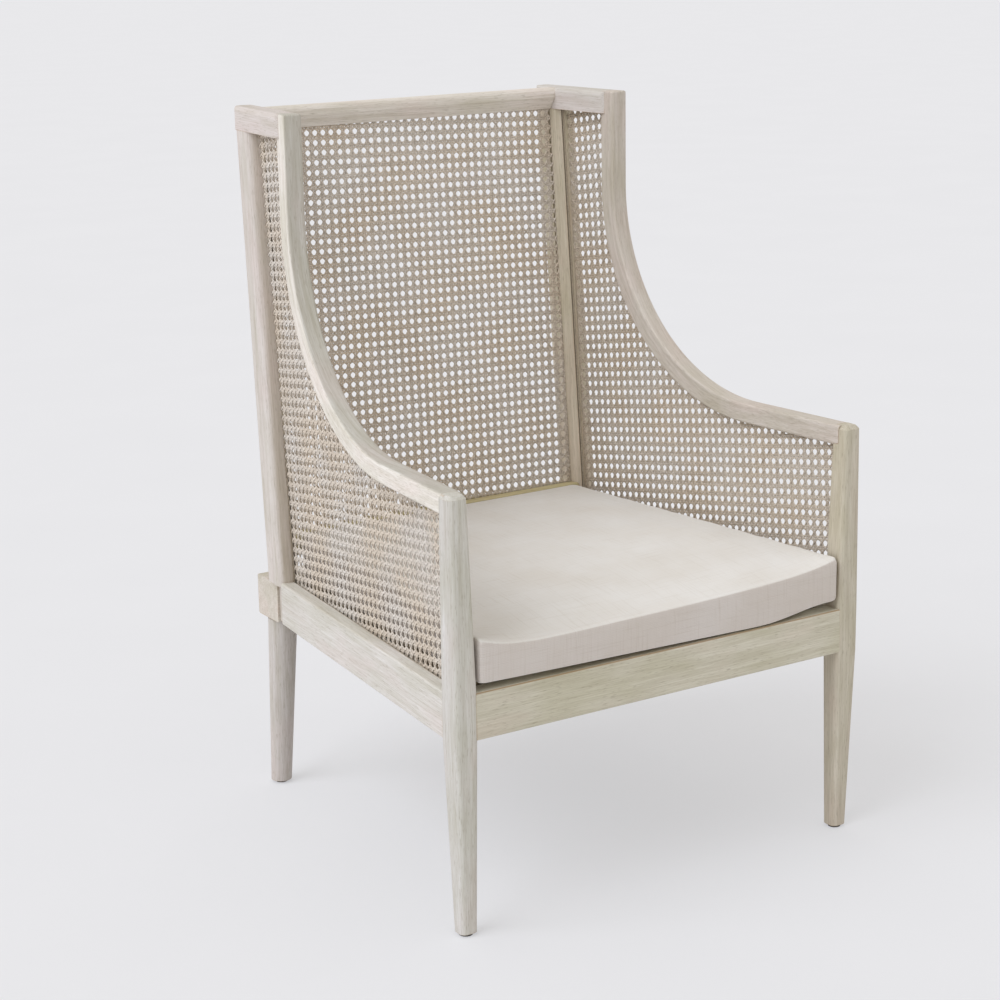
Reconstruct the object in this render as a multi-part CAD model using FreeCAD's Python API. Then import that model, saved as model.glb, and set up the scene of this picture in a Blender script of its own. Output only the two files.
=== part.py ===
import FreeCAD, Part
import math
import os

# Cane wing armchair with a loose seat cushion. Millimetres, +Z up, the chair faces -Y.
# The origin is on the floor, under the middle of the chair's width and depth.
# Every side piece is drawn for the right-hand side (+X) and mirrored for the left.

Vector = FreeCAD.Vector

# Overall size and the two slopes of the frame
overall_width = 665.0
overall_depth = 673.0
overall_height = 1018.0
side_taper_deg = 5.2
back_recline_deg = 4.3

# Seat frame
seat_rail_top = 332.0
seat_rail_height = 64.0
side_rail_thickness = 30.0
front_rail_thickness = 28.0
front_rail_recess = 1.5
rail_edge_radius = 3.0
rear_rail_depth = 63.0
rear_rail_height = 61.5
rear_rail_drop = 6.0
rear_rail_setback = 17.0

# Front posts, which run from the floor to the arm
arm_height = 591.0
front_post_seat_size = 36.0
front_post_top_size = 29.0
front_post_foot_size = 25.0
front_post_radius = 8.0
front_post_dome = 5.0
front_foot_inset = 2.5

# Rear posts and the separate round rear legs
rear_post_width = 36.0
rear_post_depth = 56.0
rear_post_radius = 16.0
rear_tongue_depth = 23.0
rear_tongue_width = 19.0
rear_tongue_recess = 8.5
rear_leg_top_diameter = 44.0
rear_leg_foot_diameter = 31.0
rear_leg_edge = 3.0
rear_leg_inset = 23.0
rear_leg_splay = 11.0
rear_leg_rake = 5.0

# Wings, arms and back frame
cane_line_inset = 16.0
wing_cane_inset = 8.0
arm_size = 28.0
arm_edge_radius = 4.0
arm_sweep_radius = 304.0
arm_head_round = 3.0
wing_top_length = 183.0
top_rail_height = 33.0
top_rail_depth = 30.0
top_rail_radius = 8.0
top_rail_bevel_depth = 11.0
top_rail_bevel_height = 18.0
top_rail_housing = 10.0
back_rail_drop = 1.5
wing_rail_end_radius = 13.0
back_cane_setback = 17.5
bottom_rail_height = 35.0
bottom_rail_depth = 26.0
bottom_rail_top = 403.0

# Cane webbing, its groove in the frame and the reed that wedges it there
cane_thickness = 2.0
groove_width = 5.2
groove_depth = 8.0
cane_hold = 7.0
cane_gap_pitch = 31.0
cane_gap_size = 15.0
reed_thickness = 2.6
reed_width = 5.5
fit_clearance = 0.1

# Seat slats and what they rest on
slat_count = 6
slat_width = 62.0
slat_thickness = 14.0
slat_end_clearance = 2.0
slat_edge_radius = 3.0
cleat_width = 20.0
cleat_height = 20.0
cleat_end_gap = 22.0
block_leg = 58.0
block_height = 24.0

# Loose cushion: a sewn cover over a foam core
cushion_clearance = 0.3
cushion_thickness = 67.0
cushion_crown = 9.0
cushion_corner_radius = 9.0
cushion_side_clearance = 1.0
cushion_front_overhang = 16.5
cushion_front_bow = 1.5
cushion_back_clearance = 3.0
cushion_draw = 9.0
cover_thickness = 1.5
foam_clearance = 0.3

# Fasteners and floor glides
dowel_diameter = 8.0
dowel_length = 40.0
tongue_dowel_length = 57.0
leg_dowel_diameter = 14.0
leg_dowel_length = 50.0
screw_shank_diameter = 4.0
screw_head_diameter = 8.0
screw_length = 30.0
glide_diameter = 18.0
glide_thickness = 4.0
glide_pin_diameter = 4.0
glide_pin_length = 12.0

# Shares that set shapes, not lengths
dowel_height_shares = (0.28, 0.72)
cushion_level_shares = (
    (0.0, 1.0),
    (0.08, 0.45),
    (0.28, 0.1),
    (0.55, 0.0),
    (0.80, 0.15),
    (0.93, 0.55),
    (1.0, 1.3),
)
crown_shares = ((0.25, 3.0), (0.55, 6.5), (0.82, 11.0), (1.0, 17.0))

# Derived lines of the frame
taper = math.radians(side_taper_deg)
recline = math.radians(back_recline_deg)
rear_limit = overall_depth / 2
front_line = -overall_depth / 2 + front_post_seat_size / 2
cane_front_x = overall_width / 2 - cane_line_inset
seat_rail_bottom = seat_rail_top - seat_rail_height
wing_front = rear_limit - wing_top_length
top_rail_bottom = overall_height - top_rail_height
rear_rail_back = rear_limit - rear_rail_setback
rear_rail_front = rear_rail_back - rear_rail_depth
rear_rail_top = seat_rail_top - rear_rail_drop
rear_rail_bottom = rear_rail_top - rear_rail_height
side_rail_end = rear_rail_front - rear_tongue_depth
slat_bottom = seat_rail_top - slat_thickness


def cane_x(y):
    """Half width of the chair, measured at the cane line."""
    return cane_front_x - math.tan(taper) * (y - front_line)


def along_side(y):
    """Distance from the front post's middle along the tapered side."""
    return (y - front_line) / math.cos(taper)


def rear_post_front(z):
    """Front face of the reclined rear post at a height."""
    foot = rear_limit - rear_post_depth
    return foot - math.tan(recline) * (overall_height - z)


def back_cane_y(z):
    return rear_post_front(z) + back_cane_setback


def rounded_rectangle(width, depth, radius):
    """Closed wire in the XY plane, centred on the origin."""
    hx = width / 2
    hy = depth / 2
    k = radius * (1 - math.sqrt(0.5))
    arcs = []
    for sx, sy in ((1, -1), (1, 1), (-1, 1), (-1, -1)):
        side = Vector(sx * hx, sy * (hy - radius), 0)
        end = Vector(sx * (hx - radius), sy * hy, 0)
        middle = Vector(sx * (hx - k), sy * (hy - k), 0)
        first, last = (side, end) if sx * sy > 0 else (end, side)
        arcs.append((first, middle, last))
    edges = []
    for index, (first, middle, last) in enumerate(arcs):
        edges.append(Part.Arc(first, middle, last).toShape())
        start = arcs[(index + 1) % len(arcs)][0]
        if (start - last).Length > 0:
            edges.append(Part.makeLine(last, start))
    return Part.Wire(edges)


def moved(shape, x, y, z):
    copy = shape.copy()
    copy.translate(Vector(x, y, z))
    return copy


def loft(wires):
    return Part.makeLoft(wires, True, True)


def on_side(shape):
    """Carries a shape from the side's own frame (X out, Y along the side) to the chair."""
    copy = shape.copy()
    copy.rotate(Vector(0, 0, 0), Vector(0, 0, 1), side_taper_deg)
    copy.translate(Vector(cane_front_x, front_line, 0))
    return copy


def on_wing(shape):
    """Carries a shape from the wing cane's plane, which lies inside the rail's middle."""
    return on_side(moved(shape, -wing_cane_inset, 0, 0))


def bar_along_x(half_length, depth, height, radius):
    """Bar centred on the origin, with its long edges rounded."""
    wire = rounded_rectangle(height, depth, radius)
    wire.rotate(Vector(0, 0, 0), Vector(0, 1, 0), 90)
    wire.translate(Vector(-half_length, 0, 0))
    return Part.Face(wire).extrude(Vector(2 * half_length, 0, 0))


def bar_along_y(start, end, width, height, radius):
    """Bar centred on X and Z zero, with its long edges rounded."""
    wire = rounded_rectangle(width, height, radius)
    wire.rotate(Vector(0, 0, 0), Vector(1, 0, 0), 90)
    wire.translate(Vector(0, start, 0))
    return Part.Face(wire).extrude(Vector(0, end - start, 0))


def front_post():
    seat_x = overall_width / 2 - front_post_seat_size / 2
    top_x = overall_width / 2 - front_post_top_size / 2
    dome_size = front_post_top_size - 2 * front_post_dome
    dome_radius = front_post_radius - front_post_dome
    levels = (
        (glide_thickness, seat_x - front_foot_inset, front_post_foot_size, front_post_radius),
        (seat_rail_bottom, seat_x, front_post_seat_size, front_post_radius),
        (seat_rail_top, seat_x, front_post_seat_size, front_post_radius),
        (arm_height - front_post_dome, top_x, front_post_top_size, front_post_radius),
        (arm_height, top_x, dome_size, dome_radius),
    )
    wires = [
        moved(rounded_rectangle(size, size, radius), x, front_line, z)
        for z, x, size, radius in levels
    ]
    return loft(wires)


def rear_post(side_rail, rear_rail):
    """Reclined oval post that stands on the rails and has a tongue between them."""
    height = top_rail_bottom - rear_rail_top
    start = along_side(rear_post_front(rear_rail_top) + rear_post_depth / 2)
    wire = rounded_rectangle(rear_post_width, rear_post_depth, rear_post_radius)
    wire.translate(Vector(0, start, rear_rail_top))
    lean = Vector(0, math.tan(recline) * height, height)
    post = on_side(Part.Face(wire).extrude(lean)).cut(side_rail)
    tongue = Part.makeBox(
        rear_tongue_width,
        rear_tongue_depth,
        seat_rail_height,
        Vector(tongue_middle() - rear_tongue_width / 2, side_rail_end, seat_rail_bottom),
    )
    return post.fuse(tongue).cut(side_rail).cut(rear_rail).removeSplitter()


def tongue_middle():
    """Distance of the tongue's middle from the chair's; its outer face is set back."""
    outer = cane_x(side_rail_end) + side_rail_thickness / 2 - rear_tongue_recess
    return outer - rear_tongue_width / 2


def rear_leg():
    """Round, tapered, slightly splayed leg under the rear rail."""
    top_x, top_y = rear_leg_axis()
    edge_size = rear_leg_top_diameter - 2 * rear_leg_edge
    levels = (
        (glide_thickness, rear_leg_splay, rear_leg_rake, rear_leg_foot_diameter),
        (rear_rail_bottom - rear_leg_edge, 0, 0, rear_leg_top_diameter),
        (rear_rail_bottom, 0, 0, edge_size),
    )
    wires = []
    for z, out, back, diameter in levels:
        ring = rounded_rectangle(diameter, diameter, diameter / 2)
        wires.append(moved(ring, top_x + out, top_y + back, z))
    return loft(wires)


def rear_leg_axis():
    middle = (rear_rail_front + rear_rail_back) / 2
    return rear_rail_half_length() - rear_leg_inset, middle


def rear_rail_half_length():
    middle = (rear_rail_front + rear_rail_back) / 2
    return cane_x(middle) + side_rail_thickness / 2


def front_rail():
    half_length = overall_width / 2 - front_post_seat_size / 2
    bar = bar_along_x(half_length, front_rail_thickness, seat_rail_height, rail_edge_radius)
    face = front_line - front_post_seat_size / 2 + front_rail_recess
    return moved(bar, 0, face + front_rail_thickness / 2, seat_rail_top - seat_rail_height / 2)


def rear_rail():
    bar = bar_along_x(rear_rail_half_length(), rear_rail_depth, rear_rail_height, rail_edge_radius)
    middle = (rear_rail_front + rear_rail_back) / 2
    return moved(bar, 0, middle, rear_rail_top - rear_rail_height / 2)


def side_rail():
    bar = bar_along_y(
        0, along_side(side_rail_end) + side_rail_thickness,
        side_rail_thickness, seat_rail_height, rail_edge_radius,
    )
    rail = on_side(moved(bar, 0, 0, seat_rail_top - seat_rail_height / 2))
    behind = Part.makeBox(
        overall_width, overall_depth, overall_height, Vector(0, side_rail_end, 0)
    )
    return rail.cut(behind)


def arm_section(y, z):
    """Rounded square across the arm, at the end of its level run."""
    wire = rounded_rectangle(arm_size, arm_size, arm_edge_radius)
    wire.rotate(Vector(0, 0, 0), Vector(1, 0, 0), 90)
    wire.translate(Vector(0, y, z))
    return Part.Face(wire)


def wing_arm():
    """The curved member that is the arm, the sweep and the wing's front edge in one."""
    low = arm_height - arm_size / 2
    upright = along_side(wing_front) + arm_size / 2
    turn = upright - arm_sweep_radius
    centre_z = low + arm_sweep_radius
    level = arm_section(0, low).extrude(Vector(0, turn, 0))
    section = arm_section(turn, low)
    bend = section.revolve(Vector(0, turn, centre_z), Vector(1, 0, 0), 90)
    section.rotate(Vector(0, turn, centre_z), Vector(1, 0, 0), 90)
    rise = section.extrude(Vector(0, 0, overall_height - centre_z))
    arm = level.fuse([bend, rise]).removeSplitter()
    head = [edge for edge in arm.Edges if edge.BoundBox.ZMin > overall_height - arm_head_round]
    return on_side(arm.makeFillet(arm_head_round, head))


def wing_top_rail():
    """Rail over the rear post's head, rounded at its rear corners."""
    corner = wing_rail_end_radius
    corner_side = (rear_post_width / 2 - corner) * math.sin(taper)
    end = corner + along_side(rear_limit - corner - corner_side)
    start = along_side(wing_front) + arm_size / 2
    middle = (start + end) / 2
    plan = rounded_rectangle(rear_post_width, end - start, wing_rail_end_radius)
    plan.translate(Vector(0, middle, top_rail_bottom))
    block = Part.Face(plan).extrude(Vector(0, 0, top_rail_height))
    bar = bar_along_y(start, end, rear_post_width, 2 * top_rail_height, top_rail_radius)
    bar.translate(Vector(0, 0, top_rail_bottom))
    return on_side(block.common(bar))


def back_rail(top, height, depth, radius):
    """Level rail centred on the back's cane plane, long enough to meet both posts."""
    middle_z = top - height / 2
    half_length = cane_x(back_cane_y(middle_z))
    return moved(bar_along_x(half_length, depth, height, radius), 0, back_cane_y(middle_z), middle_z)


def back_top_rail():
    """Back rail with its lower front bevelled and its ends housed in the wing rails."""
    top = overall_height - back_rail_drop
    rail = back_rail(top, top - top_rail_bottom, top_rail_depth, top_rail_radius)
    front = rail.BoundBox.YMin
    half_length = rail.BoundBox.XMax
    bevel = closed_face([
        Vector(-half_length, front, top_rail_bottom),
        Vector(-half_length, front + top_rail_bevel_depth, top_rail_bottom),
        Vector(-half_length, front, top_rail_bottom + top_rail_bevel_height),
    ])
    rail = rail.cut(bevel.extrude(Vector(2 * half_length, 0, 0)))
    corner = Vector(top_rail_housing - rear_post_width / 2, 0, 0)
    beyond = on_side(Part.makeBox(overall_width, overall_depth, overall_height, corner))
    for piece in both_sides(beyond):
        rail = rail.cut(piece)
    return rail


def closed_face(points, bend=None):
    """Face through points in order; bend replaces the edge after its first index by an arc."""
    edges = []
    for index, point in enumerate(points):
        following = points[(index + 1) % len(points)]
        if bend and bend[0] == index:
            edges.append(Part.Arc(point, bend[1], following).toShape())
        else:
            edges.append(Part.makeLine(point, following))
    return Part.Face(Part.Wire(edges))


def back_outline():
    """Opening of the back frame, in the upright plane X and Z before it is reclined."""
    low = (bottom_rail_top - seat_rail_top) / math.cos(recline)
    high = (top_rail_bottom - seat_rail_top) / math.cos(recline)
    half_post = rear_post_width / 2 / math.cos(taper)
    low_x = cane_x(back_cane_y(bottom_rail_top)) - half_post
    high_x = cane_x(back_cane_y(top_rail_bottom)) - half_post
    return closed_face([
        Vector(-low_x, 0, low),
        Vector(low_x, 0, low),
        Vector(high_x, 0, high),
        Vector(-high_x, 0, high),
    ])


def wing_outline():
    """Opening of the wing frame, in the side's own Y and Z."""
    low = arm_height - arm_size / 2
    under = low - arm_size / 2
    upright = along_side(wing_front) + arm_size / 2
    turn = upright - arm_sweep_radius
    outer = arm_sweep_radius + arm_size / 2
    reach = outer * math.sqrt(0.5)
    centre_z = low + arm_sweep_radius
    points = [
        Vector(0, front_post_seat_size / 2, seat_rail_top),
        Vector(0, along_side(rear_post_front(seat_rail_top)), seat_rail_top),
        Vector(0, along_side(rear_post_front(top_rail_bottom)), top_rail_bottom),
        Vector(0, turn + outer, top_rail_bottom),
        Vector(0, turn + outer, centre_z),
        Vector(0, turn, under),
        Vector(0, front_post_top_size / 2, under),
    ]
    return closed_face(points, (4, Vector(0, turn + reach, centre_z - reach)))


def sheet(face, thickness, normal):
    """Extrudes a flat face evenly to both sides of its plane."""
    half = Vector(normal).multiply(thickness / 2)
    copy = face.copy()
    copy.translate(half.negative())
    return copy.extrude(Vector(normal).multiply(thickness))


def gap_square(centre, across):
    """Small square gap, standing on the given in-plane direction."""
    h = cane_gap_size / 2
    up = Vector(0, 0, h)
    side = Vector(across).multiply(h)
    corners = [
        centre - side - up,
        centre + side - up,
        centre + side + up,
        centre - side + up,
    ]
    corners.append(corners[0])
    return Part.makePolygon(corners)


def holed_sheet(opening, across, normal):
    """Cane webbing as one holed face, held in the groove by its plain edge."""
    outer = opening.makeOffset2D(cane_hold)
    inner = opening.makeOffset2D(-cane_gap_size)
    box = opening.BoundBox
    low = box.XMin if across.x else box.YMin
    high = box.XMax if across.x else box.YMax
    columns = int((high - low) // cane_gap_pitch)
    rows = int(box.ZLength // cane_gap_pitch)
    first = (low + high - (columns - 1) * cane_gap_pitch) / 2
    bottom = (box.ZMin + box.ZMax - (rows - 1) * cane_gap_pitch) / 2
    wires = [outer.OuterWire]
    for column in range(columns):
        for row in range(rows):
            centre = Vector(across).multiply(first + column * cane_gap_pitch)
            centre.z = bottom + row * cane_gap_pitch
            if inner.isInside(centre, fit_clearance, True):
                wires.append(gap_square(centre, across))
    return sheet(Part.Face(wires, "Part::FaceMakerBullseye"), cane_thickness, normal)


def reed_ring(opening, normal):
    """Reed that lies in the groove beside the cane, on the outer side."""
    outer = opening.makeOffset2D(cane_hold)
    inner = opening.makeOffset2D(cane_hold - reed_width)
    ring = sheet(outer.cut(inner), reed_thickness, normal)
    shift = Vector(normal).multiply((cane_thickness + reed_thickness) / 2 + fit_clearance)
    ring.translate(shift)
    return ring


def groove(opening, normal):
    """Slot for the cane and its reed; the cane lies at the inner wall of it."""
    slot = sheet(opening.makeOffset2D(groove_depth), groove_width, normal)
    shift = Vector(normal).multiply((groove_width - cane_thickness) / 2 - fit_clearance)
    slot.translate(shift)
    return slot


def on_back(shape):
    """Leans a shape drawn in the upright plane to the back's recline."""
    copy = shape.copy()
    copy.rotate(Vector(0, 0, 0), Vector(1, 0, 0), -back_recline_deg)
    copy.translate(Vector(0, back_cane_y(seat_rail_top), seat_rail_top))
    return copy


def inner_half_width(y, inset):
    """Half width between the side rails' inner faces, less an inset."""
    return cane_x(y) - (side_rail_thickness / 2 + inset) / math.cos(taper)


def seat_slat(index):
    """Cross slat with ends cut to the taper of the side rails."""
    front = front_line - front_post_seat_size / 2 + front_rail_recess + front_rail_thickness
    space = (rear_rail_front - front - slat_count * slat_width) / (slat_count + 1)
    start = front + space + index * (slat_width + space)
    end = start + slat_width
    near = inner_half_width(start, slat_end_clearance)
    far = inner_half_width(end, slat_end_clearance)
    plan = closed_face([
        Vector(-near, start, slat_bottom),
        Vector(near, start, slat_bottom),
        Vector(far, end, slat_bottom),
        Vector(-far, end, slat_bottom),
    ])
    blank = plan.extrude(Vector(0, 0, slat_thickness))
    bar = bar_along_x(near, slat_width, slat_thickness, slat_edge_radius)
    bar.translate(Vector(0, (start + end) / 2, slat_bottom + slat_thickness / 2))
    return blank.common(bar)


def seat_cleat():
    """Strip on the side rail's inner face that carries the slats' ends."""
    front = along_side(front_line) + front_post_seat_size / 2 + cleat_end_gap
    end = along_side(side_rail_end) - cleat_end_gap
    x = -side_rail_thickness / 2 - cleat_width
    corner = Vector(x, front, slat_bottom - cleat_height)
    return on_side(Part.makeBox(cleat_width, end - front, cleat_height, corner))


def corner_block(corner_y, inward_y):
    """Three-cornered glue block under the cleats; the corner sits where two rails meet."""
    z = slat_bottom - cleat_height - block_height
    corner_x = inner_half_width(min(corner_y, corner_y + inward_y * block_leg), 0)
    blank = closed_face([
        Vector(corner_x, corner_y, z),
        Vector(corner_x - block_leg, corner_y, z),
        Vector(corner_x, corner_y + inward_y * block_leg, z),
    ])
    return blank.extrude(Vector(0, 0, block_height))


def cushion_wire(inset, z):
    """Plan of the cushion at one level: a rounded trapezoid with a slightly bowed front."""
    front = front_line - cushion_front_overhang + inset
    back = back_cane_y(seat_rail_top + cushion_thickness) - bottom_rail_depth / 2
    back -= cushion_back_clearance + inset
    near = overall_width / 2 - front_post_seat_size - cushion_side_clearance - inset
    far = near - math.tan(taper) * (back - front)
    r = cushion_corner_radius
    k = r * (1 - math.sqrt(0.5))
    bow = cushion_front_bow
    slope = math.tan(taper)
    right = [
        Vector(near - r, front, z),
        Vector(near - k, front + k, z),
        Vector(near - slope * r, front + r, z),
        Vector(far + slope * r, back - r, z),
        Vector(far - k, back - k, z),
        Vector(far - r, back, z),
    ]
    left = [Vector(-p.x, p.y, p.z) for p in right]
    edges = [
        Part.Arc(left[0], Vector(0, front - bow, z), right[0]).toShape(),
        Part.Arc(right[0], right[1], right[2]).toShape(),
        Part.makeLine(right[2], right[3]),
        Part.Arc(right[3], right[4], right[5]).toShape(),
        Part.makeLine(right[5], left[5]),
        Part.Arc(left[5], left[4], left[3]).toShape(),
        Part.makeLine(left[3], left[2]),
        Part.Arc(left[2], left[1], left[0]).toShape(),
    ]
    return Part.Wire(edges)


def cushion_form(skin):
    """Crowned form with drawn-in sides, shrunk all round by a skin."""
    bottom = seat_rail_top + cushion_clearance + skin
    height = cushion_thickness - 2 * skin
    wires = []
    for level, draw in cushion_level_shares:
        wires.append(cushion_wire(skin + draw * cushion_draw, bottom + level * height))
    for rise, inset in crown_shares:
        z = bottom + height + rise * cushion_crown
        wires.append(cushion_wire(skin + inset * cushion_draw, z))
    return loft(wires)


def rod(diameter, length, middle, direction):
    axis = Vector(direction)
    axis.normalize()
    start = middle - Vector(axis).multiply(length / 2)
    return Part.makeCylinder(diameter / 2, length, start, axis)


def both_sides(shape):
    return [shape, shape.mirror(Vector(0, 0, 0), Vector(1, 0, 0))]


def dowel_places():
    """Middle point, direction, length and joined pieces of every frame dowel."""
    out = Vector(1, 0, 0)
    up = Vector(0, 0, 1)
    back = Vector(-math.sin(taper), math.cos(taper), 0)
    post_x = overall_width / 2 - front_post_seat_size
    post_back = front_line + front_post_seat_size / 2
    rail_y = front_line - front_post_seat_size / 2 + front_rail_recess + front_rail_thickness / 2
    tongue_y = side_rail_end + rear_tongue_depth / 2
    places = []
    for share in dowel_height_shares:
        z = seat_rail_bottom + share * seat_rail_height
        front_place = Vector(post_x, rail_y, z)
        side_place = Vector(cane_x(post_back), post_back, z)
        rear_place = Vector(tongue_middle(), tongue_y, z)
        rear_names = ("side_seat_rail", "rear_post", "rear_seat_rail")
        places.append((front_place, out, dowel_length, ("front_post", "front_seat_rail")))
        places.append((side_place, back, dowel_length, ("front_post", "side_seat_rail")))
        places.append((rear_place, Vector(0, 1, 0), tongue_dowel_length, rear_names))
    arm_y = front_line + front_post_top_size / 2
    arm_place = Vector(cane_x(arm_y), arm_y, arm_height - arm_size / 2)
    places.append((arm_place, back, dowel_length, ("front_post", "wing_arm")))
    low_z = bottom_rail_top - bottom_rail_height / 2
    low_place = Vector(cane_x(back_cane_y(low_z)) - rear_post_width / 2, back_cane_y(low_z), low_z)
    places.append((low_place, out, dowel_length, ("rear_post", "back_bottom_rail")))
    top_z = (top_rail_bottom + groove_depth + overall_height) / 2
    wing_y = wing_front + arm_size
    wing_place = Vector(cane_x(wing_y), wing_y, top_z)
    places.append((wing_place, back, dowel_length, ("wing_arm", "wing_top_rail")))
    top_y = back_cane_y(overall_height - top_rail_height / 2)
    top_x = cane_x(top_y) - rear_post_width / 2 + top_rail_housing
    top_place = Vector(top_x, top_y, top_z)
    places.append((top_place, out, dowel_length, ("wing_top_rail", "back_top_rail")))
    head_y = rear_post_front(top_rail_bottom) + rear_post_depth - rear_post_radius
    head_place = Vector(cane_x(head_y), head_y, top_rail_bottom)
    places.append((head_place, up, dowel_length, ("rear_post", "wing_top_rail")))
    return places


def build():
    right = {}
    middle = {}

    right["front_post"] = front_post()
    right["side_seat_rail"] = side_rail().cut(right["front_post"])
    middle["rear_seat_rail"] = rear_rail()
    right["rear_post"] = rear_post(right["side_seat_rail"], middle["rear_seat_rail"])
    right["rear_leg"] = rear_leg()
    right["wing_arm"] = wing_arm().cut(right["front_post"])
    middle["back_top_rail"] = back_top_rail()
    wing_rail = wing_top_rail().cut(right["wing_arm"]).cut(right["rear_post"])
    right["wing_top_rail"] = wing_rail.cut(middle["back_top_rail"])

    front = front_rail()
    bottom = back_rail(bottom_rail_top, bottom_rail_height, bottom_rail_depth, rail_edge_radius)
    for piece in both_sides(right["front_post"]):
        front = front.cut(piece)
    for piece in both_sides(right["rear_post"]):
        bottom = bottom.cut(piece)
    middle["front_seat_rail"] = front
    middle["back_bottom_rail"] = bottom

    # Cane panels in their grooves
    out = Vector(1, 0, 0)
    along = Vector(0, 1, 0)
    wing = wing_outline()
    right["wing_cane"] = on_wing(holed_sheet(wing, along, out))
    right["wing_cane_reed"] = on_wing(reed_ring(wing, out))
    back = back_outline()
    middle["back_cane"] = on_back(holed_sheet(back, out, along))
    middle["back_cane_reed"] = on_back(reed_ring(back, along))
    wing_slot = on_wing(groove(wing, out))
    back_slot = on_back(groove(back, along))
    for name in ("front_post", "rear_post", "side_seat_rail", "wing_arm", "wing_top_rail"):
        right[name] = right[name].cut(wing_slot)
    for name in ("rear_post", "wing_top_rail"):
        right[name] = right[name].cut(back_slot)
    for name in ("back_top_rail", "back_bottom_rail"):
        middle[name] = middle[name].cut(back_slot)

    # Seat: cleats, slats and corner blocks
    right["seat_cleat"] = seat_cleat().cut(right["rear_post"])
    for index in range(slat_count):
        middle["seat_slat_%d" % (index + 1)] = seat_slat(index)
    rail_back = front_line - front_post_seat_size / 2 + front_rail_recess + front_rail_thickness
    front_block = corner_block(rail_back, 1)
    rear_block = corner_block(rear_rail_front, -1)
    for name in ("front_post", "side_seat_rail", "rear_post"):
        front_block = front_block.cut(right[name])
        rear_block = rear_block.cut(right[name])
    right["front_corner_block"] = largest(front_block)
    right["rear_corner_block"] = largest(rear_block)

    # Loose cushion
    cavity = cushion_form(cover_thickness)
    middle["seat_cushion_cover"] = cushion_form(0).cut(cavity)
    middle["seat_cushion_foam"] = cushion_form(cover_thickness + foam_clearance)

    # Dowels between the frame pieces
    dowels = []
    for place, direction, length, names in dowel_places():
        hole = rod(dowel_diameter + fit_clearance, length + fit_clearance, place, direction)
        for name in names:
            if name in right:
                right[name] = right[name].cut(hole)
            else:
                for piece in both_sides(hole):
                    middle[name] = middle[name].cut(piece)
        dowels += both_sides(rod(dowel_diameter, length, place, direction))
    middle["frame_dowels"] = Part.makeCompound(dowels)

    # Thick dowels that hold the rear legs
    leg_x, leg_y = rear_leg_axis()
    place = Vector(leg_x, leg_y, rear_rail_bottom)
    up = Vector(0, 0, 1)
    hole = rod(leg_dowel_diameter + fit_clearance, leg_dowel_length + fit_clearance, place, up)
    right["rear_leg"] = right["rear_leg"].cut(hole)
    for piece in both_sides(hole):
        middle["rear_seat_rail"] = middle["rear_seat_rail"].cut(piece)
    dowel = rod(leg_dowel_diameter, leg_dowel_length, place, up)
    middle["rear_leg_dowels"] = Part.makeCompound(both_sides(dowel))

    # Screws through the slats into the cleats
    screws = []
    for index in range(slat_count):
        name = "seat_slat_%d" % (index + 1)
        box = middle[name].BoundBox
        y = (box.YMin + box.YMax) / 2
        x = inner_half_width(y, cleat_width / 2)
        screw, hole = countersunk_screw(x, y)
        right["seat_cleat"] = right["seat_cleat"].cut(hole)
        for piece in both_sides(hole):
            middle[name] = middle[name].cut(piece)
        screws += both_sides(screw)
    middle["slat_screws"] = Part.makeCompound(screws)

    # Floor glides under the four feet
    glides = []
    foot_x = overall_width / 2 - front_post_seat_size / 2 - front_foot_inset
    feet = (
        ("front_post", foot_x, front_line),
        ("rear_leg", leg_x + rear_leg_splay, leg_y + rear_leg_rake),
    )
    for name, x, y in feet:
        glide, hole = floor_glide(x, y)
        right[name] = right[name].cut(hole)
        glides += both_sides(glide)
    middle["floor_glides"] = Part.makeCompound(glides)
    return right, middle


def largest(shape):
    solids = sorted(shape.Solids, key=lambda solid: solid.Volume)
    return solids[-1]


def countersunk_screw(x, y):
    """Slat screw with its head flush, and the hole that it fills."""
    def revolved(gap):
        head = screw_head_diameter / 2 + gap
        shank = screw_shank_diameter / 2 + gap
        cone = screw_head_diameter / 2 - screw_shank_diameter / 2
        low = seat_rail_top - screw_length - gap
        points = [
            Vector(0, 0, seat_rail_top),
            Vector(head, 0, seat_rail_top),
            Vector(shank, 0, seat_rail_top - cone),
            Vector(shank, 0, low),
            Vector(0, 0, low),
        ]
        turned = closed_face(points).revolve(Vector(0, 0, 0), Vector(0, 0, 1), 360)
        return moved(turned, x, y, 0)
    return revolved(0), revolved(fit_clearance)


def floor_glide(x, y):
    """Dark disc under a foot with a pin that is driven into it."""
    place = Vector(x, y, 0)
    height = glide_thickness + glide_pin_length
    disc = Part.makeCylinder(glide_diameter / 2, glide_thickness, place)
    pin = Part.makeCylinder(glide_pin_diameter / 2, height, place)
    hole = Part.makeCylinder(glide_pin_diameter / 2 + fit_clearance, height + fit_clearance, place)
    return disc.fuse(pin).removeSplitter(), hole


def write_parts():
    os.makedirs("parts", exist_ok=True)
    right, middle = build()
    for name, shape in middle.items():
        shape.exportStep("parts/%s.step" % name)
        print(name, round(shape.Volume), shape.isValid(), len(shape.Solids))
    for name, shape in right.items():
        for suffix, piece in zip(("right", "left"), both_sides(shape)):
            piece.exportStep("parts/%s_%s.step" % (name, suffix))
        print(name, round(shape.Volume), shape.isValid(), len(shape.Solids))


write_parts()
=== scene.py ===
# %% [markdown]
# # A cane wing armchair
# The chair is a limed solid wood frame. Its back and its two sides are woven cane, and a loose linen cushion
# lies on the seat. The rigid pieces come from the CAD model, at their real places and sizes. This script
# gives them their finishes, weaves the cane strand by strand, and pads the cushion.

# %% Load the frame
import math
import bpy
import numpy as np
from mathutils import Matrix, Vector


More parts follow.
